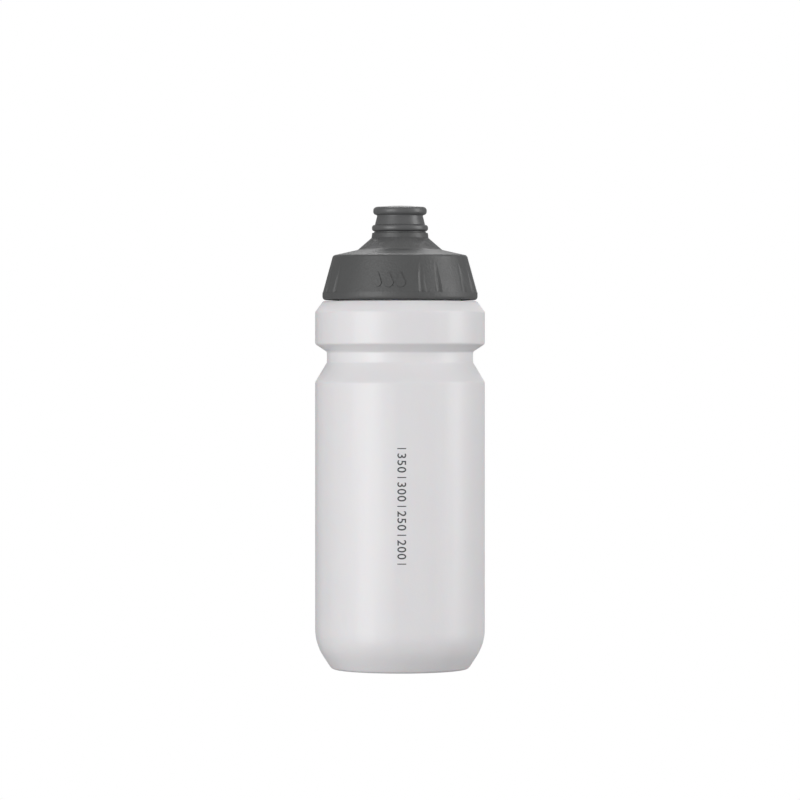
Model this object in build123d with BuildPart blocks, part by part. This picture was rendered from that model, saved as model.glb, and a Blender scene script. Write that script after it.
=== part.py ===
from build123d import *
import os
from math import asin, cos, radians, sin, sqrt, tan

# A bicycle water bottle with a screw cap and a pull nozzle. Millimetres, +Z up. The origin is the
# centre of the ring that it stands on, and its front, where the volume scale is, faces -Y.
# Pieces of revolution are drawn as their right-hand half, (radius, height), on the XZ plane.

# Blow-moulded bottle
body_d = 74.0  # across the long straight wall, which a bicycle cage grips
wall = 1.1
foot_r = 29.8  # outer edge of the ring that it stands on
foot_width = 5.0
push_up_h = 3.0  # how far the middle of the base is pushed up
push_up_run = 5.5  # width of the slope up to it
pinch_w = 1.0  # weld where the mould halves pinched the base shut
pinch_h = 0.4
pinch_end_gap = 2.0  # it stops this far short of the slope
heel_h = 11.0  # height where the slope of the heel would meet the wall
heel_radius = 21.7
wall_top_h = 125.0  # top of the long straight wall
groove_depth = 5.15  # cage groove
groove_slope_h = 8.6
groove_floor_h = 4.6
undercut_h = 3.4
band_h = 14.0  # straight band above the cage groove
shoulder_h = 4.7
neck_bore_r = 24.7
neck_wall = 1.8

# Screw thread of the neck and the cap, right-handed
thread_lead = 5.0
thread_half_turns = 3
thread_depth = 1.4
thread_root_w = 2.8
thread_crest_w = 1.4
thread_start_h = 5.8  # from the flat of the shoulder up to the middle of the lowest turn
thread_land = 1.5  # plain neck between the highest turn and the rim
thread_clearance = 0.4  # between a crest and the wall that it faces
thread_flank_gap = 0.15  # between the flanks that pull the cap down
root_bite = 0.4  # how far a raised feature is sunk into its wall

# Cap
seam_gap = 0.4  # between the shoulder and the edge of the cap
seam_step = 0.35  # how far the skirt stands out over the edge of the shoulder
collar_wall = 1.4  # the inner collar carries the thread
collar_lift = 1.5  # how far the collar stops short of the edge of the cap
coring_gap = 2.5  # between the inner collar and the skirt, at the edge
coring_h = 9.0
skirt_wall = 1.6
skirt_edge_radius = 1.5
skirt_band_h = 3.3  # plain band at the edge of the skirt
skirt_draft = 15.4  # degrees from upright
skirt_step = 0.15  # the band stands proud of the tapered skirt
roof_t = 2.05  # over the gasket, at the edge of the roof
roof_slope = 12.7  # degrees
roof_edge_radius = 1.5
roof_core_t = 1.9  # roof and cone over the middle of the cap
cone_run = 6.0  # width of the cone, from its foot in to the crown
cone_foot_radius = 2.0
cone_slope = 41.0  # degrees
crown_step = 0.2  # the crown, an upright ring on top of the cone, is this much wider than the nozzle
crown_h = 2.2
crown_draft = 0.25
crown_foot_radius = 0.5
crown_edge_radius = 0.4
register_in = 0.9  # the low step that the nozzle lands on is set back from the nozzle
register_h = 0.5
gasket_t = 1.5
gasket_clearance = 0.3  # round the gasket
gasket_touch = 0.1  # between the rim and the gasket when the cap is down
plug_ring_t = 1.35  # ring under the roof that goes into the neck and keeps the gasket in
plug_ring_h = 3.5
plug_clearance = 0.35

# Grip flutes in pairs round the skirt, and a row of raised drops on a smooth panel between them
flute_pairs = 8
flute_pair_pitch = 39.0  # degrees from one pair to the next
flute_spacing = 13.4  # degrees between the two flutes of a pair
first_pair_angle = -66.5  # degrees from +X
flute_cutter_r = 2.6
flute_depth = 0.85
flute_top_gap = 3.0  # the flutes run out this far below the edge of the roof
drop_count = 3
drop_pitch = 9.0  # degrees from one drop to the next
drops_angle = -98.5  # degrees from +X to the middle of the row
drop_r = 1.9
drop_tip = 5.0  # from the middle of its round end up to its tip
drop_h = 3.8  # from the band up to the middle of its round end
drop_proud = 0.4

# Spout and nozzle
spout_r = 6.8
spout_wall = 1.4
spout_head_over = 0.6  # the head of the spout stops the nozzle and holds the O-ring
spout_head_h = 2.1
spout_chamfer = 0.3
nozzle_travel = 5.5
nozzle_land_gap = 0.2  # between the register and the nozzle when it is down
nozzle_stop_gap = 0.1  # between the inner lip and the head when it is up
slide_clearance = 0.07
lip_h = 1.1  # inner lip of the nozzle core, which slides on the spout
head_clearance = 0.15  # round the head of the spout, in the nozzle
head_gap = 0.25  # over the spout when the nozzle is down
core_wall = 1.05
core_top_t = 1.0
core_foot_out = 2.0  # flanges that lock the sleeve on the core
core_foot_h = 1.15
core_head_out = 1.3
core_head_h = 2.0
hole_r = 2.6
hole_fit = 0.05  # round the tip of the post
sleeve_bead_t = 3.6  # thickness of the sleeve over the core
sleeve_bead_h = 2.75
sleeve_waist_foot_t = 2.35
sleeve_waist_top_t = 1.25
sleeve_lip_t = 3.05
sleeve_lip_h = 3.4
sleeve_crown_h = 0.5
sleeve_top_t = 0.95
sleeve_mouth_step = 1.6  # round the hole
o_ring_t = 1.0  # across its section
o_ring_fit = 0.04

# Valve and post in the seat under the spout
seat_in = 2.8  # from the outside of the crown in to the bore of the seat
seat_wall = 1.6
seat_fit = 0.05
seat_below = 0.9  # how far the seat goes on below the retainer
seat_roof_t = 1.6
hub_t = 2.0
post_r = 2.0
post_over = 0.35  # how far its tip stands above the hard top of the nozzle
spoke_count = 3
spoke_w = 1.3
valve_flange_t = 1.2
dome_clearance = 0.2  # between the dome and the retainer
dome_drop = 3.1
dome_skin = 0.7
slit_w = 0.2
slit_l = 7.0
retainer_w = 2.2
retainer_h = 2.2
snap = 0.3  # bead of the retainer and its groove in the seat

# Heights and radii that follow, bottle first
body_r = body_d / 2
groove_r = body_r - groove_depth
groove_floor_z = wall_top_h + groove_slope_h
undercut_z = groove_floor_z + groove_floor_h
band_z = undercut_z + undercut_h
band_top_z = band_z + band_h
shoulder_z = band_top_z + shoulder_h
neck_r = neck_bore_r + neck_wall
thread_z = shoulder_z + thread_start_h
rim_z = thread_z + thread_lead * thread_half_turns / 2 + thread_root_w / 2 + thread_land
# The ridge of the cap runs just under the ridge of the neck, so that it pulls the cap down
thread_drop = (thread_root_w + thread_crest_w) / 2 + thread_flank_gap

cap_edge_z = shoulder_z + seam_gap
gasket_z = rim_z + gasket_touch
ceiling_z = gasket_z + gasket_t
collar_r = neck_r + thread_depth + thread_clearance
collar_outer_r = collar_r + collar_wall
coring_z = cap_edge_z + coring_h
skirt_r = collar_outer_r + coring_gap + skirt_wall
shoulder_r = skirt_r - seam_step
skirt_band_z = cap_edge_z + skirt_band_h
roof_z = ceiling_z + roof_t
plug_ring_r = neck_bore_r - plug_clearance

spout_bore_r = spout_r - spout_wall
spout_head_r = spout_r + spout_head_over
core_bore_r = spout_head_r + head_clearance
core_r = core_bore_r + core_wall
sleeve_bead_r = core_r + sleeve_bead_t
crown_r = sleeve_bead_r + crown_step
register_r = sleeve_bead_r - register_in
cone_foot_r = crown_r + cone_run
seat_bore_r = crown_r - seat_in


def skirt_r_at(z):
    """Radius of the tapered skirt at a height."""
    return skirt_r - skirt_step - (z - skirt_band_z) * tan(radians(skirt_draft))


def roof_z_at(r):
    """Height of the sloped roof at a radius."""
    return roof_z + (skirt_r_at(roof_z) - r) * tan(radians(roof_slope))


cone_foot_z = roof_z_at(cone_foot_r)
crown_z = cone_foot_z + (cone_foot_r - crown_r) * tan(radians(cone_slope))
crown_top_z = crown_z + crown_h
register_z = crown_top_z + register_h
roof_core_drop = roof_core_t / cos(radians(roof_slope))
cone_core_drop = roof_core_t / cos(radians(cone_slope))
# Under the corner of roof and cone, both walls have their full thickness at this radius
under_foot_in = (cone_core_drop - roof_core_drop) / (
    tan(radians(cone_slope)) - tan(radians(roof_slope))
)
under_foot_r = cone_foot_r - under_foot_in

seat_outer_r = seat_bore_r + seat_wall
under_cone_z = crown_z + (crown_r - seat_outer_r) * tan(radians(cone_slope)) - cone_core_drop
plug_inner_r = plug_ring_r - plug_ring_t
seat_top_z = crown_top_z - seat_roof_t
hub_z = seat_top_z - hub_t
valve_z = hub_z - valve_flange_t
retainer_z = valve_z - retainer_h
snap_z = retainer_z + retainer_h / 2
seat_z = retainer_z - seat_below
dome_r = seat_bore_r - seat_fit - retainer_w - dome_clearance
dome_radius = (dome_r**2 + dome_drop**2) / (2 * dome_drop)
dome_inner_r = sqrt((dome_radius - dome_skin) ** 2 - (dome_radius - dome_drop) ** 2)

nozzle_z = register_z + nozzle_land_gap
lip_top_z = nozzle_z + lip_h
spout_head_z = lip_top_z + nozzle_travel + nozzle_stop_gap
spout_top_z = spout_head_z + spout_head_h
core_ceiling_z = spout_top_z + head_gap
core_top_z = core_ceiling_z + core_top_t
sleeve_top_z = core_top_z + sleeve_top_t
sleeve_edge_z = sleeve_top_z - sleeve_crown_h
sleeve_lip_z = sleeve_edge_z - sleeve_lip_h
o_ring_z = spout_head_z + spout_head_h / 2
o_ring_r = core_bore_r - o_ring_fit - o_ring_t / 2
o_ring_room = o_ring_t / 2 + o_ring_fit
tip_r = hole_r - hole_fit
tip_z = core_ceiling_z - head_gap
tip_top_z = core_top_z + post_over

os.makedirs("parts", exist_ok=True)


def thread_ridge(wall_r, direction, start_z):
    """The ridge of the thread, in half turns: a trapezoid swept up a helix, out (1) or in (-1)."""
    with BuildPart() as half_turn:
        with BuildLine() as path:
            Helix(thread_lead, thread_lead / 2, wall_r, center=(0, 0, start_z))
        start = Plane(path.line @ 0, x_dir=(direction, 0, 0), z_dir=path.line % 0)
        with BuildSketch(start) as section:
            with BuildLine():
                Polyline(
                    (-root_bite, -thread_root_w / 2),
                    (0, -thread_root_w / 2),
                    (thread_depth, -thread_crest_w / 2),
                    (thread_depth, thread_crest_w / 2),
                    (0, thread_root_w / 2),
                    (-root_bite, thread_root_w / 2),
                    close=True,
                )
            make_face()
        sweep(sections=section.sketch, path=path.line, is_frenet=True)
    return [
        Location((0, 0, half * thread_lead / 2), (0, 0, 180 * half)) * half_turn.part
        for half in range(thread_half_turns)
    ]


neck_thread = thread_ridge(neck_r, 1, thread_z)
cap_thread = thread_ridge(collar_r, -1, thread_z - thread_drop)

# Bottle: a thin shell of revolution from the middle of the base round to the neck
with BuildPart() as bottle_body:
    with BuildSketch(Plane.XZ):
        with BuildLine():
            FilletPolyline(
                (0, push_up_h),
                (foot_r - foot_width - push_up_run, push_up_h),
                (foot_r - foot_width, 0),
                (foot_r, 0),
                (body_r, heel_h),
                (body_r, wall_top_h),
                (groove_r, groove_floor_z),
                (groove_r, undercut_z),
                (body_r, band_z),
                (body_r, band_top_z),
                (shoulder_r, shoulder_z),
                (neck_r - neck_wall / 2, shoulder_z),
                radius=[3.0, 1.8, 2.3, heel_radius, 2.0, 1.2, 1.2, 1.4, 1.8, 1.2],
            )
            offset(amount=wall, side=Side.LEFT, closed=True)
        make_face()
    revolve(axis=Axis.Z)
    with BuildSketch(Plane.XZ):
        with Locations((neck_bore_r, shoulder_z - wall)):
            Rectangle(neck_wall, rim_z - shoulder_z + wall, align=(Align.MIN, Align.MIN))
    revolve(axis=Axis.Z)
    rim = bottle_body.edges().filter_by(GeomType.CIRCLE).group_by(Axis.Z)[-1]
    fillet(rim, neck_wall / 4)
    add(neck_thread)
    with BuildSketch(Plane.XY.offset(push_up_h)):
        Rectangle(2 * (foot_r - foot_width - push_up_run - pinch_end_gap), pinch_w)
    extrude(amount=-pinch_h)
bottle_body.part.label = "bottle_body"
export_step(bottle_body.part, "parts/bottle_body.step")

# Cap gasket: a flat ring between the rim and the ceiling of the cap
with BuildPart() as cap_gasket:
    with BuildSketch(Plane.XZ) as gasket_section:
        with Locations((neck_bore_r, gasket_z)):
            Rectangle(
                collar_r - gasket_clearance - neck_bore_r,
                gasket_t,
                align=(Align.MIN, Align.MIN),
            )
        chamfer(gasket_section.vertices(), gasket_t / 6)
    revolve(axis=Axis.Z)
cap_gasket.part.label = "cap_gasket"
export_step(cap_gasket.part, "parts/cap_gasket.step")

# Cap: skirt, roof, cone and crown, hollowed from below, with the seat and the spout in its middle
with BuildPart() as cap_shell:
    with BuildSketch(Plane.XZ):
        with BuildLine():
            skirt_edge = FilletPolyline(
                (seat_bore_r, cap_edge_z),
                (skirt_r, cap_edge_z),
                (skirt_r, skirt_band_z),
                radius=skirt_edge_radius,
            )
            roof = FilletPolyline(
                (skirt_r - skirt_step, skirt_band_z),
                (skirt_r_at(roof_z), roof_z),
                (cone_foot_r, cone_foot_z),
                (crown_r, crown_z),
                (crown_r - crown_draft, crown_top_z),
                (register_r, crown_top_z),
                radius=[roof_edge_radius, cone_foot_radius, crown_foot_radius, crown_edge_radius],
            )
            Line(skirt_edge @ 1, roof @ 0)
            Polyline(
                roof @ 1,
                (register_r, register_z),
                (spout_bore_r, register_z),
                (spout_bore_r, seat_top_z),
                (seat_bore_r, seat_top_z),
                skirt_edge @ 0,
            )
        make_face()
        # Room for the neck and the gasket, then the gap that cores out the skirt
        with BuildLine():
            Polyline(
                (seat_bore_r, cap_edge_z),
                (collar_outer_r, cap_edge_z),
                (collar_outer_r, cap_edge_z + collar_lift),
                (collar_r, cap_edge_z + collar_lift),
                (collar_r, ceiling_z),
                (seat_bore_r, ceiling_z),
                close=True,
            )
        make_face(mode=Mode.SUBTRACT)
        with BuildLine():
            Polyline(
                (collar_outer_r, cap_edge_z),
                (skirt_r - skirt_wall, cap_edge_z),
                (skirt_r - skirt_wall, skirt_band_z),
                (skirt_r_at(coring_z) - skirt_wall, coring_z),
                (collar_outer_r, coring_z),
                close=True,
            )
        make_face(mode=Mode.SUBTRACT)
        # Hollow under the roof and the cone, round the seat
        with BuildLine():
            Polyline(
                (seat_bore_r, ceiling_z),
                (seat_bore_r, seat_z),
                (seat_outer_r, seat_z),
                (seat_outer_r, under_cone_z),
                (under_foot_r, roof_z_at(under_foot_r) - roof_core_drop),
                (plug_inner_r, roof_z_at(plug_inner_r) - roof_core_drop),
                (plug_inner_r, ceiling_z),
                close=True,
            )
        make_face(mode=Mode.SUBTRACT)
        with Locations((plug_ring_r, ceiling_z)):
            Rectangle(plug_ring_t, plug_ring_h, align=(Align.MAX, Align.MAX))
        # Groove that the retainer snaps into
        with BuildLine():
            Polyline(
                (seat_bore_r, snap_z - snap),
                (seat_bore_r + snap, snap_z),
                (seat_bore_r, snap_z + snap),
                close=True,
            )
        make_face(mode=Mode.SUBTRACT)
        # Spout with its head and the groove of the O-ring
        with BuildLine():
            Polyline(
                (spout_bore_r, seat_top_z),
                (spout_r, seat_top_z),
                (spout_r, spout_head_z),
                (spout_head_r, spout_head_z),
                (spout_head_r, o_ring_z - o_ring_room),
                (o_ring_r - o_ring_room, o_ring_z - o_ring_room),
                (o_ring_r - o_ring_room, o_ring_z + o_ring_room),
                (spout_head_r, o_ring_z + o_ring_room),
                (spout_head_r, spout_top_z - spout_chamfer),
                (spout_head_r - spout_chamfer, spout_top_z),
                (spout_bore_r, spout_top_z),
                close=True,
            )
        make_face()
    revolve(axis=Axis.Z)
    add(cap_thread)
    # Grip flutes: a round cutter leans in less than the skirt does, so that each flute runs out
    flute_top_z = roof_z - flute_top_gap
    flute_foot_r = skirt_r_at(skirt_band_z) - flute_depth
    for pair in range(flute_pairs):
        for side in (-0.5, 0.5):
            turn = first_pair_angle + pair * flute_pair_pitch + side * flute_spacing
            with BuildSketch(Plane.XY.offset(skirt_band_z).rotated((0, 0, turn))):
                with Locations((flute_foot_r + flute_cutter_r, 0)):
                    Circle(flute_cutter_r)
            rise = Vector(skirt_r_at(flute_top_z) - flute_foot_r, 0, flute_top_z - skirt_band_z)
            extrude(
                amount=rise.length + root_bite,
                dir=rise.rotate(Axis.Z, turn),
                mode=Mode.SUBTRACT,
            )
    # Each drop is on a plane that touches the skirt
    drop_z = skirt_band_z + drop_h
    shoulder = asin(drop_r / drop_tip)
    for drop in range(drop_count):
        turn = drops_angle + (drop - (drop_count - 1) / 2) * drop_pitch
        outward = Vector(1, 0, 0).rotate(Axis.Z, turn)
        drop_plane = Plane(
            outward * skirt_r_at(drop_z) + Vector(0, 0, drop_z),
            x_dir=Vector(0, 0, 1).cross(outward),
            z_dir=outward * cos(radians(skirt_draft)) + Vector(0, 0, sin(radians(skirt_draft))),
        )
        with BuildSketch(drop_plane.offset(-root_bite)):
            Circle(drop_r)
            Polygon(
                (drop_r * cos(shoulder), drop_r * sin(shoulder)),
                (0, drop_tip),
                (-drop_r * cos(shoulder), drop_r * sin(shoulder)),
                align=None,
            )
        extrude(amount=root_bite + drop_proud)
cap_shell.part.label = "cap_shell"
export_step(cap_shell.part, "parts/cap_shell.step")

# Valve post: a hub in the seat, spokes across the bore, and the post that plugs the nozzle
with BuildPart() as valve_post:
    with BuildSketch(Plane.XY.offset(hub_z)):
        Circle(seat_bore_r - seat_fit)
        Circle(spout_bore_r, mode=Mode.SUBTRACT)
        with PolarLocations(0, spoke_count):
            Rectangle(spout_bore_r + root_bite, spoke_w, align=(Align.MIN, Align.CENTER))
    extrude(amount=hub_t)
    with BuildSketch(Plane.XZ):
        with BuildLine():
            side = FilletPolyline(
                (0, hub_z),
                (post_r, hub_z),
                (post_r, tip_z - (tip_r - post_r)),
                (tip_r, tip_z),
                (tip_r, tip_top_z),
                (0, tip_top_z),
                radius=[0.2, 0.4, 0.2, 0.7],
            )
            Line(side @ 1, side @ 0)
        make_face()
    revolve(axis=Axis.Z)
valve_post.part.label = "valve_post"
export_step(valve_post.part, "parts/valve_post.step")

# Flow valve: a clamped flange and a dome that hangs from it, slit crosswise
with BuildPart() as flow_valve:
    with BuildSketch(Plane.XZ):
        with BuildLine():
            under = RadiusArc((dome_r, valve_z), (0, valve_z - dome_drop), dome_radius)
            over = RadiusArc(
                (dome_inner_r, valve_z),
                (0, valve_z - dome_drop + dome_skin),
                dome_radius - dome_skin,
            )
            Line(under @ 1, over @ 1)
            Line(under @ 0, over @ 0)
        make_face()
        with Locations((dome_inner_r, valve_z)):
            Rectangle(
                seat_bore_r - seat_fit - dome_inner_r,
                valve_flange_t,
                align=(Align.MIN, Align.MIN),
            )
    revolve(axis=Axis.Z)
    with BuildSketch(Plane.XY.offset(valve_z)):
        Rectangle(slit_l, slit_w)
        Rectangle(slit_w, slit_l)
    extrude(amount=-2 * dome_drop, mode=Mode.SUBTRACT)
flow_valve.part.label = "flow_valve"
export_step(flow_valve.part, "parts/flow_valve.step")

# Valve retainer: a ring that snaps into the seat under the valve
with BuildPart() as valve_retainer:
    with BuildSketch(Plane.XZ):
        with Locations((seat_bore_r - seat_fit, retainer_z)):
            Rectangle(retainer_w, retainer_h, align=(Align.MAX, Align.MIN))
        with BuildLine():
            Polyline(
                (seat_bore_r - seat_fit, snap_z - snap),
                (seat_bore_r - seat_fit + snap, snap_z),
                (seat_bore_r - seat_fit, snap_z + snap),
                close=True,
            )
        make_face()
    revolve(axis=Axis.Z)
valve_retainer.part.label = "valve_retainer"
export_step(valve_retainer.part, "parts/valve_retainer.step")

# Outer form of the nozzle core, which the sleeve is moulded over
with BuildSketch(Plane.XZ) as core_form:
    with BuildLine():
        Polyline(
            (0, nozzle_z),
            (core_r + core_foot_out, nozzle_z),
            (core_r + core_foot_out, nozzle_z + core_foot_h),
            (core_r, nozzle_z + core_foot_h),
            (core_r, core_top_z - core_head_h),
            (core_r + core_head_out, core_top_z - core_head_h),
            (core_r + core_head_out, core_top_z),
            (0, core_top_z),
            close=True,
        )
    make_face()

# Nozzle core: a hard tube that slides on the head of the spout and stops on its inner lip
with BuildPart() as nozzle_core:
    with BuildSketch(Plane.XZ):
        add(core_form.sketch_local)
        with BuildLine():
            Polyline(
                (0, nozzle_z),
                (spout_r + slide_clearance, nozzle_z),
                (spout_r + slide_clearance, lip_top_z),
                (core_bore_r, lip_top_z),
                (core_bore_r, core_ceiling_z),
                (hole_r, core_ceiling_z),
                (hole_r, core_top_z),
                (0, core_top_z),
                close=True,
            )
        make_face(mode=Mode.SUBTRACT)
    revolve(axis=Axis.Z)
nozzle_core.part.label = "nozzle_core"
export_step(nozzle_core.part, "parts/nozzle_core.step")

# Nozzle sleeve: the soft mouthpiece moulded over the core
with BuildPart() as nozzle_sleeve:
    with BuildSketch(Plane.XZ):
        with BuildLine():
            skin = FilletPolyline(
                (spout_r, nozzle_z),
                (sleeve_bead_r, nozzle_z),
                (sleeve_bead_r, nozzle_z + sleeve_bead_h),
                (core_r + sleeve_waist_foot_t, nozzle_z + sleeve_bead_h),
                (core_r + sleeve_waist_top_t, sleeve_lip_z),
                (core_r + sleeve_lip_t, sleeve_lip_z),
                (core_r + sleeve_lip_t, sleeve_edge_z),
                (hole_r + sleeve_mouth_step, sleeve_top_z),
                (hole_r + sleeve_mouth_step, core_top_z),
                radius=[1.1, 1.1, 0.3, 0.5, 1.4, 1.6, 0.5],
            )
            Polyline(skin @ 1, (spout_r, core_top_z), skin @ 0)
        make_face()
        add(core_form.sketch_local, mode=Mode.SUBTRACT)
    revolve(axis=Axis.Z)
nozzle_sleeve.part.label = "nozzle_sleeve"
export_step(nozzle_sleeve.part, "parts/nozzle_sleeve.step")

# O-ring in the head of the spout
with BuildPart() as nozzle_o_ring:
    with BuildSketch(Plane.XZ):
        with Locations((o_ring_r, o_ring_z)):
            Circle(o_ring_t / 2)
    revolve(axis=Axis.Z)
nozzle_o_ring.part.label = "nozzle_o_ring"
export_step(nozzle_o_ring.part, "parts/nozzle_o_ring.step")
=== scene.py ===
# %% [markdown]
# # A squeeze bottle for a bicycle
#
# The bottle has nine pieces: the blown body, and a cap with its gasket, spout, valve and pull
# nozzle. The CAD model gives every one of them its place and size, and this lesson gives them their
# looks. The body is turned again on a lathe of Geometry Nodes, because it is the largest surface
# and its shape is one simple rule. The other pieces keep the CAD mesh and get a new finish. The
# volume scale that is printed on the front is added last.

import math

import bpy
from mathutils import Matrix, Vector
from mathutils.bvhtree import BVHTree


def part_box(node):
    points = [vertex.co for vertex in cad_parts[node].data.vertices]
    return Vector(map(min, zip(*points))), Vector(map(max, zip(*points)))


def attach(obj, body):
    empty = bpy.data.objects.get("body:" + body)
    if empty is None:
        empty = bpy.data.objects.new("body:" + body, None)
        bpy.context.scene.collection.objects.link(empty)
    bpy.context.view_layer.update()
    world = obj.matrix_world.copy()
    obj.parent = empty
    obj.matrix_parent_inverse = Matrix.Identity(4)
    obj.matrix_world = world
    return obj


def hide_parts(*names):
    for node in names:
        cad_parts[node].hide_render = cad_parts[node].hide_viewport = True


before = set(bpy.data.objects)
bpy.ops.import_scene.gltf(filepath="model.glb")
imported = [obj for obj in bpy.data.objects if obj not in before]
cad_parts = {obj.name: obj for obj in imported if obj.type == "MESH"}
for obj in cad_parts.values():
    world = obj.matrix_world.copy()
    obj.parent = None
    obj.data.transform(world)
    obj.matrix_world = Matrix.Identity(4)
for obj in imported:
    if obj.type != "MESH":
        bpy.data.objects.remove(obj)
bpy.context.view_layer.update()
MM = 0.001
for name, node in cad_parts.items():
    print(f"{name}: {len(node.data.polygons)} faces")

# %% [markdown]
# ## Camera
#
# The bottle stands alone and is seen straight on, from a little above its middle. A long lens from
# almost two metres keeps the cap and the foot nearly as flat as in a drawing, which is how such a
# product is usually shown. A short lens from nearby would bend the rings into wide ovals.

# %% Camera
camera = bpy.data.objects.new("camera", bpy.data.cameras.new("camera"))
bpy.context.scene.collection.objects.link(camera)
camera.data.sensor_width = 36
camera.data.lens = 191
camera.location = (0, -1.85, 0.139)
aim = Vector((0, 0, 0.1172))
camera.rotation_euler = (aim - camera.location).to_track_quat("-Z", "Y").to_euler()
bpy.context.scene.camera = camera
print("Camera stands", round((aim - camera.location).length, 3), "m away")

# %% [markdown]
# ## Studio
#
# A white product picture is a light tent: bright paper behind and below, a large soft box in front
# on the left, and another at the right. The paper shines as pure white at the camera, but sends
# less light to the bottle, as paper further off would. That needs the Light Path node, once for the
# floor and once for the world. The boxes stand lower than the table, and the floor lets their light
# through, so the heel is lit like the rest. The Standard view keeps white as white.

# %% Helpers for nodes and for white paper
scene = bpy.context.scene
scene.view_settings.view_transform = "Standard"
scene.view_settings.look = "None"


def put(tree, kind, feeds=None, **settings):
    """A new node of this kind. Settings are its properties, and feeds its inputs by name or place."""
    node = tree.nodes.new(kind)
    for key, value in settings.items():
        setattr(node, key, value)
    for key, value in (feeds or {}).items():
        socket = node.inputs[key]
        if isinstance(value, bpy.types.NodeSocket):
            tree.links.new(value, socket)
        else:
            socket.default_value = value
    return node


def seen_as_white(tree, out, shader, light, one_sided=False):
    """Paper that the camera sees as white, while the bottle gets this light from it.

    One-sided paper can't be seen from behind, so the base of the bottle can be looked at from below.
    """
    path = put(tree, "ShaderNodeLightPath")
    lit = put(tree, shader, {"Color": light}).outputs[0]
    white = put(tree, shader, {"Color": (1, 1, 1, 1)}).outputs[0]
    mix = put(tree, "ShaderNodeMixShader", {0: path.outputs["Is Camera Ray"], 1: lit, 2: white})
    if one_sided:
        behind = put(tree, "ShaderNodeNewGeometry").outputs["Backfacing"]
        clear = put(tree, "ShaderNodeBsdfTransparent").outputs[0]
        mix = put(tree, "ShaderNodeMixShader", {0: behind, 1: mix.outputs[0], 2: clear})
    put(tree, out, {"Surface": mix.outputs[0]})


print("View transform:", scene.view_settings.view_transform)

# %% World
# The tent is bright in front of the bottle, dim behind it and dim above
FRONT, BEHIND, ABOVE = 0.70, 0.27, 0.45
scene.world = bpy.data.worlds.new("light_tent")
scene.world.use_nodes = True
tent = scene.world.node_tree
tent.nodes.clear()
direction = put(tent, "ShaderNodeTexCoord").outputs["Generated"]
towards = put(tent, "ShaderNodeSeparateXYZ", {0: direction}).outputs


def fade(axis, start, end, first=0.0, last=1.0):
    """A level that goes from first to last while the direction turns along this axis."""
    return put(tent, "ShaderNodeMapRange", {0: towards[axis], 1: start, 2: end, 3: first, 4: last}).outputs[0]


around = fade("Y", 0.3, -1.0, BEHIND, FRONT)
upward = fade("Z", 0.1, 1.0, 1.0, ABOVE)
over_floor = fade("Z", -0.02, 0.0)
level = put(tent, "ShaderNodeMath", {0: around, 1: upward}, operation="MULTIPLY").outputs[0]
level = put(tent, "ShaderNodeMath", {0: level, 1: over_floor}, operation="MULTIPLY").outputs[0]
seen_as_white(tent, "ShaderNodeOutputWorld", "ShaderNodeBackground", level)
print("The tent sends", FRONT, "from the front,", BEHIND, "from behind and", ABOVE, "of that from above")

# %% Floor
FLOOR_LIGHT, FLOOR_HALF = 0.22, 8.0
floor_paper = bpy.data.materials.new("floor_paper")
floor_paper.use_nodes = True
paper = floor_paper.node_tree
paper.nodes.clear()
floor_grey = (FLOOR_LIGHT, FLOOR_LIGHT, FLOOR_LIGHT, 1)
seen_as_white(paper, "ShaderNodeOutputMaterial", "ShaderNodeEmission", floor_grey, one_sided=True)
floor_mesh = bpy.data.meshes.new("floor")
corners = [(x * FLOOR_HALF, y * FLOOR_HALF, 0) for x, y in ((-1, -1), (1, -1), (1, 1), (-1, 1))]
floor_mesh.from_pydata(corners, [], [(0, 1, 2, 3)])
floor_mesh.materials.append(floor_paper)
floor = bpy.data.objects.new("floor", floor_mesh)
scene.collection.objects.link(floor)
floor.visible_shadow = False  # the light of the boxes goes through it
print("The floor is", 2 * FLOOR_HALF, "m wide")

# %% Soft boxes
AIM_HEIGHT = 0.1  # m, half-way up the bottle


def soft_box(name, azimuth, lift, distance, size, power):
    """A soft box that faces the bottle. Its azimuth and lift are in degrees, to the right and up.

    Its distance, width and height are in metres, and its power in watts.
    """
    lamp = bpy.data.lights.new(name, "AREA")
    lamp.shape, lamp.energy = "RECTANGLE", power
    lamp.size, lamp.size_y = size
    box = bpy.data.objects.new(name, lamp)
    scene.collection.objects.link(box)
    turn, rise = math.radians(azimuth), math.radians(lift)
    back = Vector((math.sin(turn) * math.cos(rise), -math.cos(turn) * math.cos(rise), math.sin(rise)))
    box.location = Vector((0, 0, AIM_HEIGHT)) + back * distance
    box.rotation_euler = back.to_track_quat("Z", "Y").to_euler()
    print(f"{name}: {power} W from {azimuth} degrees to the side and {lift} up")


soft_box("key_box", -40, 0, 1.2, (0.74, 1.2), 12.4)
soft_box("side_box", 81, 10, 1.2, (0.54, 1.3), 11.0)
soft_box("top_box", 180, 82, 1.1, (0.8, 0.6), 2.6)
soft_box("back_box", 180, 54, 1.5, (0.8, 0.8), 12.0)

# %% [markdown]
# ## Finishes
#
# Every piece is moulded plastic or rubber, so one recipe serves them all: a colour that drifts a
# little, a gloss that drifts with it, and a fine grain that the mould leaves on the surface. On top
# come long soft waves from the flow of the plastic, and faint rubs from the cage and the hand. What
# tells the pieces apart is the numbers. The body is satin polyethylene, which lets a little light
# in. The cap is nearly matte with a clear grain. The nozzle is smoother. All patterns are made from
# the Object coordinates, so they stay with each piece when it moves.

# %% A recipe for moulded plastic
RUB_STRETCH = (140.0, 140.0, 2600.0)  # rubs are long round the piece and thin along its height
RUB_FROM, RUB_TO = 0.62, 0.75  # only the strongest part of the noise becomes a rub
FLOW_STRETCH = (90.0, 90.0, 6.0)  # waves from the flow stand upright


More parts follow.
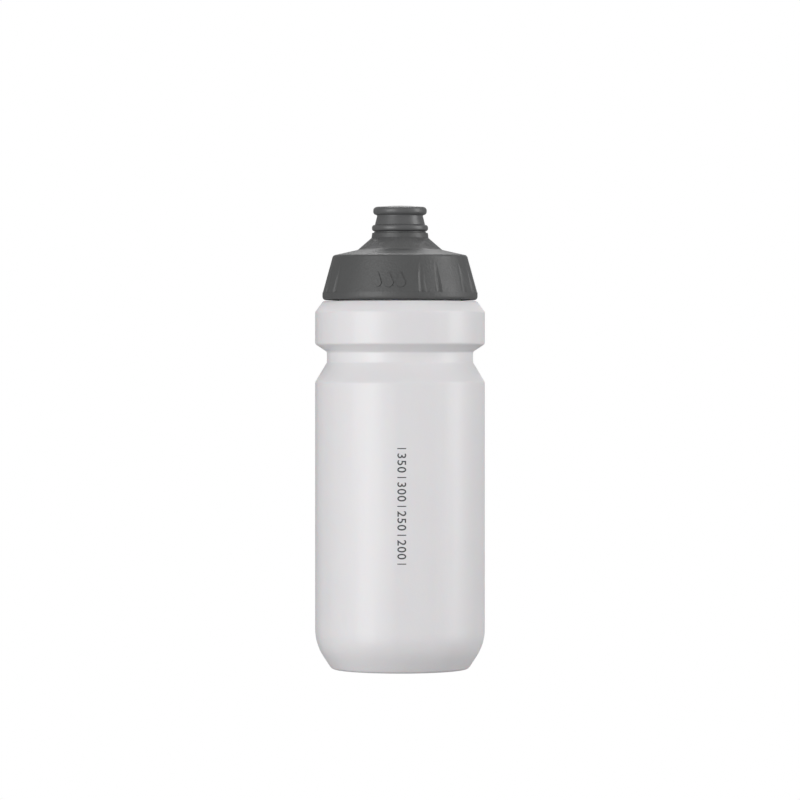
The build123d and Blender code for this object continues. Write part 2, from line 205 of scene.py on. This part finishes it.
def plastic(name, colour, roughness, grain, depth, drift=0.04, patch=70.0, streaks=0.0, scuffs=0.0):
    """Moulded plastic. Its grain is grain mm wide and depth mm deep, and drift says how uneven it is.

    Patch is how many patches of colour and gloss go on a metre, streaks the depth in mm of the waves
    from the flow, and scuffs how much duller a rub is.
    """
    finish = bpy.data.materials.new(name)
    finish.use_nodes = True
    tree = finish.node_tree
    shader = tree.nodes["Principled BSDF"]
    where = put(tree, "ShaderNodeTexCoord").outputs["Object"]
    patches = put(tree, "ShaderNodeTexNoise", {"Vector": where, "Scale": patch, "Detail": 3.0})
    ends = [tuple(part * (1 + side * drift) for part in colour) + (1,) for side in (-1, 1)]
    tint = put(
        tree,
        "ShaderNodeMix",
        {0: patches.outputs["Fac"], 6: ends[0], 7: ends[1]},
        data_type="RGBA",
    )
    gloss = put(
        tree,
        "ShaderNodeMapRange",
        {0: patches.outputs["Fac"], 1: 0.3, 2: 0.7, 3: roughness - drift, 4: roughness + drift},
    )
    lying = put(tree, "ShaderNodeVectorMath", {0: where, 1: RUB_STRETCH}, operation="MULTIPLY").outputs[0]
    lines = put(tree, "ShaderNodeTexNoise", {"Vector": lying, "Scale": 1.0, "Detail": 2.0}).outputs["Fac"]
    rubs = put(tree, "ShaderNodeMapRange", {0: lines, 1: RUB_FROM, 2: RUB_TO, 3: 0.0, 4: scuffs}).outputs[0]
    dulled = put(tree, "ShaderNodeMath", {0: gloss.outputs[0], 1: rubs}, operation="ADD").outputs[0]
    flow = put(tree, "ShaderNodeVectorMath", {0: where, 1: FLOW_STRETCH}, operation="MULTIPLY").outputs[0]
    waves = put(tree, "ShaderNodeTexNoise", {"Vector": flow, "Scale": 1.0, "Detail": 1.0}).outputs["Fac"]
    long_relief = put(tree, "ShaderNodeBump", {"Height": waves, "Distance": streaks * MM}).outputs[0]
    pores = put(tree, "ShaderNodeTexNoise", {"Vector": where, "Scale": 1 / (grain * MM), "Detail": 3.0})
    relief = put(
        tree,
        "ShaderNodeBump",
        {"Height": pores.outputs["Fac"], "Distance": depth * MM, "Normal": long_relief},
    )
    tree.links.new(tint.outputs[2], shader.inputs["Base Color"])
    tree.links.new(dulled, shader.inputs["Roughness"])
    tree.links.new(relief.outputs[0], shader.inputs["Normal"])
    print(f"{name}: grain of {grain} mm, {depth} mm deep")
    return finish


# %% The finishes of this bottle
satin = plastic(
    "satin_polyethylene",
    (0.708, 0.696, 0.710),
    0.40,
    grain=1.1,
    depth=0.03,
    drift=0.012,
    streaks=0.5,
    scuffs=0.06,
)
matte = plastic("matte_cap_plastic", (0.071, 0.072, 0.072), 0.47, grain=0.9, depth=0.16, scuffs=0.05)
soft = plastic("soft_nozzle_rubber", (0.092, 0.093, 0.094), 0.38, grain=0.7, depth=0.02, scuffs=0.04)
hard = plastic("hard_nozzle_plastic", (0.06, 0.06, 0.062), 0.32, grain=0.8, depth=0.003)
valve = plastic("valve_plastic_finish", (0.09, 0.09, 0.093), 0.32, grain=0.8, depth=0.003)
silicone = plastic("silicone_rubber", (0.60, 0.60, 0.58), 0.45, grain=1.0, depth=0.004)
# Light goes a little way into the two pale ones: how much of it, and how far in mm
for finish, share, reach in ((satin, 0.1, 2), (silicone, 0.3, 1)):
    shader = finish.node_tree.nodes["Principled BSDF"]
    shader.inputs["Subsurface Weight"].default_value = share
    shader.inputs["Subsurface Scale"].default_value = reach * MM

# %% [markdown]
# ## Pieces that keep the CAD mesh
#
# The cap, the nozzle, the valve and the seals have sharp steps, flutes and undercuts that the CAD
# model already holds exactly, so they keep its mesh. Only the material in their slots is changed.

# %% Dress the CAD pieces
for name, finish in {
    "cap_shell": matte,
    "nozzle_sleeve": soft,
    "nozzle_core": hard,
    "valve_post": valve,
    "valve_retainer": valve,
    "flow_valve": silicone,
    "cap_gasket": silicone,
    "nozzle_o_ring": silicone,
}.items():
    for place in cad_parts[name].material_slots:
        place.material = finish
    print(name, "gets", finish.name)

# %% [markdown]
# ## A lathe of Geometry Nodes
#
# The body is blown into a round mould, so its shape follows one rule: a line, the section of the
# wall, goes once round the axis. A Screw modifier can do that, but it can't round the corners of the
# section, each with its own radius, or follow a thread. This tree does both. It rounds the section,
# wraps a flat grid round the axis so that every row of the grid lies on one point of the section,
# and lets the rows climb while they go round. With no climb it turns a bottle, and with one it winds
# a screw thread, whose ends thin out to nothing.

# %% Helpers for trees
GEOMETRY, FLOAT, WHOLE = "NodeSocketGeometry", "NodeSocketFloat", "NodeSocketInt"
TOUCHING = 0.001 * MM  # points closer than this are one


def new_tree(name, inputs):
    """A Geometry Nodes tree with these named inputs, each with its kind and value."""
    tree = bpy.data.node_groups.new(name, "GeometryNodeTree")
    tree.interface.new_socket("Geometry", in_out="INPUT", socket_type=GEOMETRY)
    tree.interface.new_socket("Geometry", in_out="OUTPUT", socket_type=GEOMETRY)
    for label, kind, value in inputs:
        socket = tree.interface.new_socket(label, in_out="INPUT", socket_type=kind)
        socket.default_value = value
    finish = tree.interface.new_socket("Finish", in_out="INPUT", socket_type="NodeSocketMaterial")
    print(f"Tree {name} has the inputs", [label for label, *_ in inputs], "and", finish.name)
    return tree, put(tree, "NodeGroupInput").outputs


def sum_of(tree, operation, *values):
    """One step of arithmetic in a tree."""
    return put(tree, "ShaderNodeMath", dict(enumerate(values)), operation=operation).outputs[0]


def end_tree(tree, geometry, finish):
    """Every tree ends alike: real faces, smooth, in their finish."""
    real = put(tree, "GeometryNodeRealizeInstances", {0: geometry}).outputs[0]
    smooth = put(tree, "GeometryNodeSetShadeSmooth", {0: real}).outputs[0]
    dressed = put(tree, "GeometryNodeSetMaterial", {"Geometry": smooth, "Material": finish}).outputs[0]
    put(tree, "NodeGroupOutput", {0: dressed})


# %% The lathe tree: round the section and take its points
lathe, given = new_tree(
    "lathe",
    [
        ("Steps", WHOLE, 192),
        ("Corner steps", WHOLE, 8),
        ("Turns", FLOAT, 1.0),
        ("Climb", FLOAT, 0.0),
        ("Thinning", FLOAT, 0.0),
        ("Wall radius", FLOAT, 0.0),
    ],
)
corner = put(lathe, "GeometryNodeInputRadius").outputs[0]
section = put(
    lathe,
    "GeometryNodeFilletCurve",
    {"Curve": given["Geometry"], "Count": given["Corner steps"], "Radius": corner},
    mode="POLY",
).outputs[0]
marks = put(lathe, "GeometryNodeCurveToPoints", {"Curve": section}, mode="EVALUATED").outputs["Points"]
size = put(lathe, "GeometryNodeAttributeDomainSize", {0: marks}, component="POINTCLOUD")
count = size.outputs["Point Count"]
print("The corners are rounded by a", section.node.bl_label, "node")

# %% The lathe tree: a flat grid, with a row for each point and a column for each step
columns = sum_of(lathe, "ADD", given["Steps"], 1.0)
grid = put(lathe, "GeometryNodeMeshGrid", {"Vertices X": columns, "Vertices Y": count}).outputs["Mesh"]
index = put(lathe, "GeometryNodeInputIndex").outputs[0]
column = sum_of(lathe, "FLOOR", sum_of(lathe, "DIVIDE", sum_of(lathe, "ADD", index, 0.5), count))
row = sum_of(lathe, "SUBTRACT", index, sum_of(lathe, "MULTIPLY", column, count))
place = put(lathe, "GeometryNodeInputPosition").outputs[0]
mark = put(
    lathe,
    "GeometryNodeSampleIndex",
    {"Geometry": marks, "Value": place, "Index": row},
    data_type="FLOAT_VECTOR",
)
on_section = put(lathe, "ShaderNodeSeparateXYZ", {0: mark.outputs[0]}).outputs
print("The tree has", len(lathe.nodes), "nodes so far")

# %% The lathe tree: turn, climb and thin out
share = sum_of(lathe, "DIVIDE", column, given["Steps"])
turned = sum_of(lathe, "MULTIPLY", share, given["Turns"])
angle = sum_of(lathe, "MULTIPLY", turned, math.tau)
# From 0 at both ends up to 1, over the share of the length that Thinning gives
from_end = sum_of(lathe, "MINIMUM", share, sum_of(lathe, "SUBTRACT", 1.0, share))
full = put(
    lathe,
    "ShaderNodeMapRange",
    {0: from_end, 2: given["Thinning"]},
    interpolation_type="SMOOTHSTEP",
)
thins = sum_of(lathe, "GREATER_THAN", given["Thinning"], 0.0)
thick = put(lathe, "GeometryNodeSwitch", {0: thins, 1: 1.0, 2: full.outputs[0]}, input_type="FLOAT")
off_wall = sum_of(lathe, "SUBTRACT", on_section["X"], given["Wall radius"])
out_by = sum_of(lathe, "MULTIPLY", off_wall, thick.outputs[0])
radius = sum_of(lathe, "ADD", out_by, given["Wall radius"])
height = sum_of(
    lathe,
    "ADD",
    sum_of(lathe, "MULTIPLY", on_section["Z"], thick.outputs[0]),
    sum_of(lathe, "MULTIPLY", turned, given["Climb"]),
)
print("The tree has", len(lathe.nodes), "nodes so far")

# %% The lathe tree: wrap the grid round the axis
wrapped = put(
    lathe,
    "ShaderNodeCombineXYZ",
    {
        0: sum_of(lathe, "MULTIPLY", radius, sum_of(lathe, "COSINE", angle)),
        1: sum_of(lathe, "MULTIPLY", radius, sum_of(lathe, "SINE", angle)),
        2: height,
    },
).outputs[0]
round_grid = put(lathe, "GeometryNodeSetPosition", {"Geometry": grid, "Position": wrapped}).outputs[0]
closed = put(lathe, "GeometryNodeMergeByDistance", {"Geometry": round_grid, "Distance": TOUCHING})
end_tree(lathe, closed.outputs[0], given["Finish"])
print("The finished tree has", len(lathe.nodes), "nodes")

# %% Draw a section and run the tree on it
SHARP = 0.001  # mm, the rounding of a corner that should stay sharp


def section_line(name, corners):
    """The section as straight runs. Each corner has a radius, a height and a rounding in mm."""
    line = bpy.data.curves.new(name, "CURVE")
    line.dimensions = "3D"
    spline = line.splines.new("POLY")
    spline.points.add(len(corners) - 1)
    for point, (out, up, rounding) in zip(spline.points, corners):
        point.co = (out * MM, 0, up * MM, 1)
        point.radius = max(rounding, SHARP) * MM
    thing = bpy.data.objects.new(name, line)
    scene.collection.objects.link(thing)
    return thing


def run_tree(thing, tree, finish, **sizes):
    """Runs a tree on an object with these sizes, and gives back a plain mesh."""
    modifier = thing.modifiers.new(tree.name, "NODES")
    modifier.node_group = tree
    for item in tree.interface.items_tree:
        if item.in_out == "INPUT" and item.name in sizes:
            modifier[item.identifier] = sizes[item.name]
        if item.name == "Finish":
            modifier[item.identifier] = finish
    seen = thing.evaluated_get(bpy.context.evaluated_depsgraph_get())
    mesh = bpy.data.meshes.new_from_object(seen)
    bpy.data.objects.remove(thing)
    print(f"{tree.name} made {len(mesh.vertices)} points and {len(mesh.polygons)} faces")
    return mesh


# %% [markdown]
# ## The blown body
#
# The wall of the real bottle is a little over a millimetre of soft polyethylene, blown into a mould.
# From the foot ring it swells in a large heel, runs straight up for the cage to grip, narrows to the
# cage groove, and ends in a short shoulder under the cap. The outside is written down corner by
# corner, and the inside is the same line, set in by the wall. Only the neck is thicker. The lathe
# then turns both at once, so the wall is a closed shell with a real rim.

# %% Section of the wall, in mm
WALL = 1.1
NECK_BORE = 24.7
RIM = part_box("bottle_body")[1].z / MM
BODY_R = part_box("bottle_body")[1].x / MM
SHOULDER = 160.3
NECK_R = 26.5
outside = [
    (0, 3.0, 0),
    (19.3, 3.0, 3.0),
    (24.8, 0, 1.8),
    (29.8, 0, 2.3),
    (BODY_R, 11.0, 21.7),
    (BODY_R, 125.0, 2.0),
    (31.85, 133.6, 1.2),
    (31.85, 138.2, 1.2),
    (BODY_R, 141.6, 1.4),
    (BODY_R, 155.6, 1.8),
    (33.45, SHOULDER, 1.2),
    (NECK_R, SHOULDER, 0.4),
    (NECK_R, RIM, 0.45),
    (NECK_BORE, RIM, 0.45),
]


def set_in(corners, by):
    """The same line, set in by the thickness of the wall, and the roundings with it."""
    moved = []
    for before, here, after in zip(corners, corners[1:], corners[2:]):
        ahead = [Vector((b[0] - a[0], b[1] - a[1])).normalized() for a, b in ((before, here), (here, after))]
        inward = [Vector((-d.y, d.x)) for d in ahead]
        shift = (inward[0] + inward[1]) * by / (1 + inward[0].dot(inward[1]))
        turns_left = ahead[0].cross(ahead[1]) > 0
        rounding = here[2] - by if turns_left else here[2] + by
        moved.append((here[0] + shift.x, here[1] + shift.y, max(rounding, 0.1)))
    return moved


inside = [(0, outside[0][1] + WALL, 0)] + set_in(outside[:12], WALL) + [(NECK_BORE, SHOULDER - WALL, 0.3)]
print("The inside of the straight wall is at a radius of", round(inside[4][0], 2), "mm")

# %% Turn the body
wall_line = section_line("wall_section", outside + inside[::-1])
wall_mesh = run_tree(wall_line, lathe, satin, **{"Steps": 192, "Corner steps": 8})

# %% [markdown]
# ## The screw thread
#
# The thread of the neck is a ridge with slanted flanks, half as wide at the crest as at the root. It
# makes one and a half turns and rises five millimetres in each. It is the lathe again, now with a
# climb. The ends thin out, as the end of a real thread does, so that the cap finds its start.

# %% Wind the thread
LEAD, TURNS, START = 5.0, 1.5, 166.1
DEPTH, ROOT, CREST, BITE = 1.4, 2.8, 1.4, 0.4
ridge = [
    (NECK_R - BITE, -ROOT / 2, 0.05),
    (NECK_R, -ROOT / 2, 0.2),
    (NECK_R + DEPTH, -CREST / 2, 0.2),
    (NECK_R + DEPTH, CREST / 2, 0.2),
    (NECK_R, ROOT / 2, 0.2),
    (NECK_R - BITE, ROOT / 2, 0.05),
    (NECK_R - BITE, -ROOT / 2, 0.05),
]
thread_mesh = run_tree(
    section_line("thread_section", ridge),
    lathe,
    satin,
    **{
        "Steps": 216,
        "Corner steps": 3,
        "Turns": TURNS,
        "Climb": LEAD * MM,
        "Thinning": 0.04,
        "Wall radius": (NECK_R - BITE) * MM,
    },
)
for point in thread_mesh.vertices:
    point.co.z += START * MM

# %% [markdown]
# ## The pinch weld
#
# Where the two halves of the mould bite the soft tube shut, the base keeps a low, straight weld. It
# sits on the raised middle of the base, clear of the ground. Its mesh is a half-round bar whose
# height and width run out at both ends, written out ring by ring.

# %% Make the weld
import bmesh

WELD_LENGTH, WELD_W, WELD_H, WELD_RINGS, WELD_SIDES = 34.6, 1.0, 0.4, 36, 10
weld = bmesh.new()
rings = []
for i in range(WELD_RINGS + 1):
    along = 2 * i / WELD_RINGS - 1
    full_here = max(1 - abs(along) ** 12, 0.02) ** 0.5
    ring = []
    for k in range(WELD_SIDES):
        turn = math.tau * k / WELD_SIDES
        across = math.cos(turn) * WELD_W / 2 * full_here
        down = math.sin(turn) * WELD_H * full_here
        ring.append(weld.verts.new((along * WELD_LENGTH / 2 * MM, across * MM, (outside[0][1] - down) * MM)))
    rings.append(ring)
for first, second in zip(rings, rings[1:]):
    for k in range(WELD_SIDES):
        weld.faces.new((first[k - 1], first[k], second[k], second[k - 1]))
weld.faces.new(rings[0])
weld.faces.new(rings[-1][::-1])
bmesh.ops.recalc_face_normals(weld, faces=weld.faces)
for face in weld.faces:
    face.smooth = True
    face.material_index = 0
weld_mesh = bpy.data.meshes.new("weld")
weld.to_mesh(weld_mesh)
weld.free()
print("The weld is", WELD_LENGTH, "mm long")

# %% [markdown]
# ## One body from three meshes
#
# Wall, thread and weld come out of the mould as one piece, so they become one object. A mesh that was
# wound or turned can come out inside out. Each mesh is closed, so the sign of its volume tells, and
# it is turned round where the volume is negative.

# %% Join them


def piece(name, meshes, finish):
    """One object at the origin from closed meshes, all with their faces outwards."""
    joined = bmesh.new()
    for mesh in meshes:
        part = bmesh.new()
        part.from_mesh(mesh)
        volume = part.calc_volume(signed=True)
        if volume < 0:
            bmesh.ops.reverse_faces(part, faces=part.faces)
        open_edges = sum(not edge.is_manifold for edge in part.edges)
        print(f"{name}: {abs(volume) / MM**3:.2f} mm3, {open_edges} open edges, inside out: {volume < 0}")
        part.to_mesh(mesh)
        part.free()
        joined.from_mesh(mesh)
    for face in joined.faces:
        face.material_index = 0
    whole = bpy.data.meshes.new(name)
    joined.to_mesh(whole)
    joined.free()
    whole.materials.append(finish)
    thing = bpy.data.objects.new(name, whole)
    scene.collection.objects.link(thing)
    return thing


bottle_wall = piece("bottle_wall", [wall_mesh, thread_mesh, weld_mesh], satin)
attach(bottle_wall, "bottle")
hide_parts("bottle_body")

# %% [markdown]
# ## How much the bottle holds
#
# A volume scale is only right if its marks stand where the water stands. So the marks aren't spaced
# by eye. Rays from over the foot ring find the wall and the raised middle at each height inside the
# body, each thin slice of water is added up, and the height of any volume is read off the sum.

# %% Fill the bottle slice by slice
SLICE, OVER_RING = 0.25, 27.3
shell = bmesh.new()
shell.from_mesh(wall_mesh)
walls = BVHTree.FromBMesh(shell)
shell.free()
diagonal = Vector((1, 1, 0)).normalized()
filled = [(outside[3][1] + WALL, 0.0)]
while filled[-1][1] < 400:
    up, millilitres = filled[-1]
    start = diagonal * OVER_RING * MM + Vector((0, 0, (up + SLICE / 2) * MM))
    outward = walls.ray_cast(start, diagonal)[3] / MM + OVER_RING
    inward = OVER_RING - walls.ray_cast(start, -diagonal)[3] / MM
    area = math.pi * (outward**2 - max(inward, 0) ** 2)
    filled.append((up + SLICE, millilitres + area * SLICE / 1000))


def water_height(millilitres):
    """The height in mm at which this much water stands."""
    for (low, less), (high, more) in zip(filled, filled[1:]):
        if less <= millilitres <= more:
            return low + (high - low) * (millilitres - less) / (more - less)


for millilitres in (100, 200, 300, 400):
    print(millilitres, "ml stands", round(water_height(millilitres), 1), "mm high")

# %% [markdown]
# ## The marks of the scale
#
# A printed scale repeats one short bar at even steps, which is work for Geometry Nodes: a line of
# points, one for each step of the scale, and a bar on every point that isn't taken up by a number.
# The numbers stand in the same column, each in the middle of its own height. The bars are made flat
# and then bent round the body. Here the wall is straight, so the steps are even too.

# %% The tree that prints the marks: a bar on every free point of a line
marks_tree, given = new_tree(
    "scale_marks",
    [
        ("Marks", WHOLE, 10),
        ("Lowest", FLOAT, 0.0),
        ("Step", FLOAT, 0.0),
        ("Marks to a number", WHOLE, 2),
        ("Bar length", FLOAT, 0.0),
        ("Bar height", FLOAT, 0.0),
        ("Ink", FLOAT, 0.0),
        ("Body radius", FLOAT, 0.0),
        ("Shift", FLOAT, 0.0),
    ],
)
line = put(
    marks_tree,
    "GeometryNodeMeshLine",
    {
        "Count": given["Marks"],
        "Start Location": put(marks_tree, "ShaderNodeCombineXYZ", {2: given["Lowest"]}).outputs[0],
        "Offset": put(marks_tree, "ShaderNodeCombineXYZ", {2: given["Step"]}).outputs[0],
    },
    mode="OFFSET",
).outputs[0]
index = put(marks_tree, "GeometryNodeInputIndex").outputs[0]
in_group = sum_of(marks_tree, "MODULO", index, given["Marks to a number"])
# A bar is printed only where it is no more than one step from the middle between two numbers
middle = sum_of(marks_tree, "DIVIDE", given["Marks to a number"], 2.0)
off_middle = sum_of(marks_tree, "ABSOLUTE", sum_of(marks_tree, "SUBTRACT", in_group, middle))
free = sum_of(marks_tree, "LESS_THAN", off_middle, 1.0)
bar_size = put(
    marks_tree,
    "ShaderNodeCombineXYZ",
    {0: given["Bar length"], 1: given["Ink"], 2: given["Bar height"]},
)
bar = put(
    marks_tree,
    "GeometryNodeMeshCube",
    {"Size": bar_size.outputs[0], "Vertices X": 9, "Vertices Y": 2, "Vertices Z": 2},
).outputs[0]
bars = put(
    marks_tree,
    "GeometryNodeInstanceOnPoints",
    {"Points": line, "Selection": free, "Instance": bar},
).outputs[0]
flat = put(marks_tree, "GeometryNodeRealizeInstances", {0: bars}).outputs[0]
print("The tree has", len(marks_tree.nodes), "nodes so far")

# %% The tree that prints the marks: bend the bars round the body
spot = put(
    marks_tree,
    "ShaderNodeSeparateXYZ",
    {0: put(marks_tree, "GeometryNodeInputPosition").outputs[0]},
).outputs
along = sum_of(marks_tree, "ADD", spot["X"], given["Shift"])
bend = sum_of(marks_tree, "DIVIDE", along, given["Body radius"])
forward = sum_of(marks_tree, "MULTIPLY", sum_of(marks_tree, "COSINE", bend), -1.0)
out_to = sum_of(marks_tree, "SUBTRACT", given["Body radius"], spot["Y"])
bent = put(
    marks_tree,
    "ShaderNodeCombineXYZ",
    {
        0: sum_of(marks_tree, "MULTIPLY", out_to, sum_of(marks_tree, "SINE", bend)),
        1: sum_of(marks_tree, "MULTIPLY", out_to, forward),
        2: spot["Z"],
    },
).outputs[0]
round_body = put(marks_tree, "GeometryNodeSetPosition", {"Geometry": flat, "Position": bent}).outputs[0]
end_tree(marks_tree, round_body, given["Finish"])
print("The finished tree has", len(marks_tree.nodes), "nodes")

# %% Print the marks
ink = plastic("printed_ink", (0.062, 0.062, 0.064), 0.55, grain=0.2, depth=0.004, patch=400.0)
LOWEST_ML, STEP_ML, MARKS, PER_NUMBER = 150, 25, 10, 2
INK_T, LETTER_H, STROKE, SHIFT = 0.024, 3.8, 0.42, 0.76
step = (water_height(LOWEST_ML + STEP_ML * (MARKS - 1)) - water_height(LOWEST_ML)) / (MARKS - 1)
marks_mesh = run_tree(
    piece("marks", [], ink),
    marks_tree,
    ink,
    **{
        "Marks": MARKS,
        "Lowest": water_height(LOWEST_ML) * MM,
        "Step": step * MM,
        "Marks to a number": PER_NUMBER,
        "Bar length": LETTER_H * MM,
        "Bar height": STROKE * MM,
        "Ink": INK_T * MM,
        "Body radius": BODY_R * MM,
        "Shift": SHIFT * MM,
    },
)
print(f"A step of {STEP_ML} ml is {step:.2f} mm")

# %% [markdown]
# ## The numbers of the scale
#
# The numbers are read with the head tilted to the right, so they fit the narrow column. Each is a
# text object that is made a mesh first. Then its points are placed: along the text becomes down the
# bottle, and up the text becomes round it. Long edges are cut before that, or they would run
# straight through the curved wall.

# %% Print the numbers
LONGEST_EDGE, BOLDER = 0.6, 0.05


def number_mesh(number, height):
    """The number as thin closed ink on the body, centred at this height in mm."""
    letters = bpy.data.curves.new(f"number_{number}", "FONT")
    letters.body = str(number)
    letters.space_character = 1.12
    letters.size = MM * LETTER_H / 0.72
    letters.offset = MM * BOLDER
    letters.extrude = MM * INK_T / 2
    text = bpy.data.objects.new(letters.name, letters)
    mesh = bpy.data.meshes.new_from_object(text)
    bpy.data.objects.remove(text)
    shape = bmesh.new()
    shape.from_mesh(mesh)
    bmesh.ops.remove_doubles(shape, verts=shape.verts, dist=0.0005 * MM)
    bmesh.ops.triangulate(shape, faces=shape.faces)
    while True:
        long = [edge for edge in shape.edges if edge.calc_length() > LONGEST_EDGE * MM]
        if not long:
            break
        bmesh.ops.subdivide_edges(shape, edges=long, cuts=1)
        bmesh.ops.triangulate(shape, faces=shape.faces)
    along = [vert.co.x for vert in shape.verts]
    up = [vert.co.y for vert in shape.verts]
    centre = Vector(((min(along) + max(along)) / 2, (min(up) + max(up)) / 2))
    print(f"{number}: {(max(along) - min(along)) / MM:.1f} mm long, {(max(up) - min(up)) / MM:.1f} mm high")
    for vert in shape.verts:
        turn = (vert.co.y - centre.y + SHIFT * MM) / (BODY_R * MM)
        out = BODY_R * MM + vert.co.z
        down = vert.co.x - centre.x
        vert.co = (out * math.sin(turn), -out * math.cos(turn), height * MM - down)
    shape.to_mesh(mesh)
    shape.free()
    return mesh


numbers = [number_mesh(n, water_height(n)) for n in (200, 250, 300, 350)]
volume_scale = piece("volume_scale", [marks_mesh] + numbers, ink)
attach(volume_scale, "bottle")
